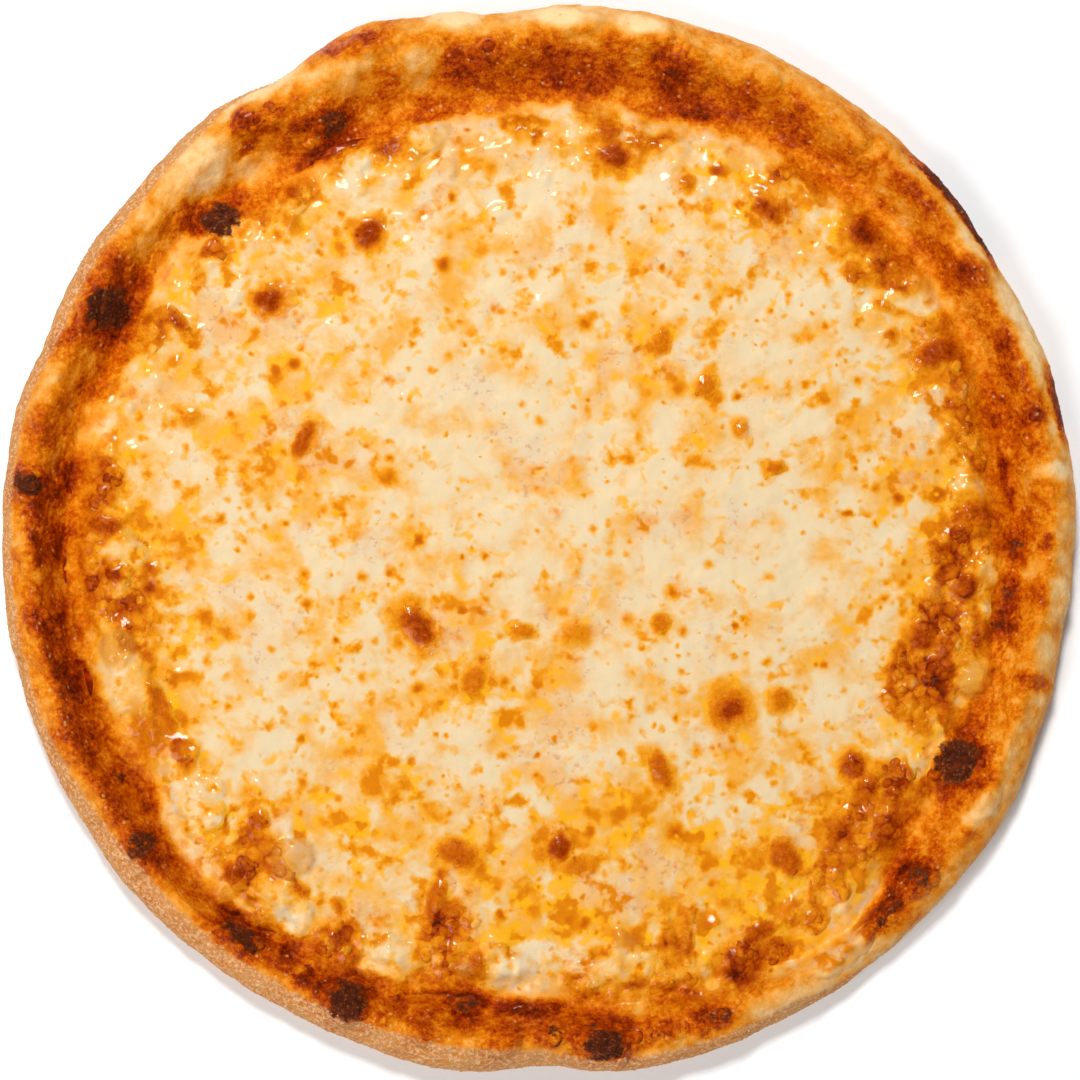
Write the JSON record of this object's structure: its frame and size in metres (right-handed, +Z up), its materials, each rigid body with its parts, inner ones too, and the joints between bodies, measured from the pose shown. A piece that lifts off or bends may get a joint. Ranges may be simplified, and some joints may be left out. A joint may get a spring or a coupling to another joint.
{
  "type": "margherita pizza",
  "caption": "Round thin-crust cheese pizza with an uneven raised rim, a layer of tomato sauce and a layer of melted cheese.",
  "frame": {"origin": "under the middle of the pizza, on the plane of its flat underside", "axes": "+Z up out of the cheese, +Y towards the side where the rim is widest, +X to the right of that"},
  "size_m": [0.3003, 0.2981, 0.0182],
  "materials": {
    "crust": "baked bread dough, browned and charred in places, matt with a floury underside",
    "sauce": "dark red cooked tomato sauce, moist",
    "cheese": "melted mozzarella, cream with orange oil spots and brown blisters, oily sheen"
  },
  "bodies": {
    "root": {"crust": "crust", "sauce": "sauce", "cheese": "cheese"}
  },
  "joints": []
}
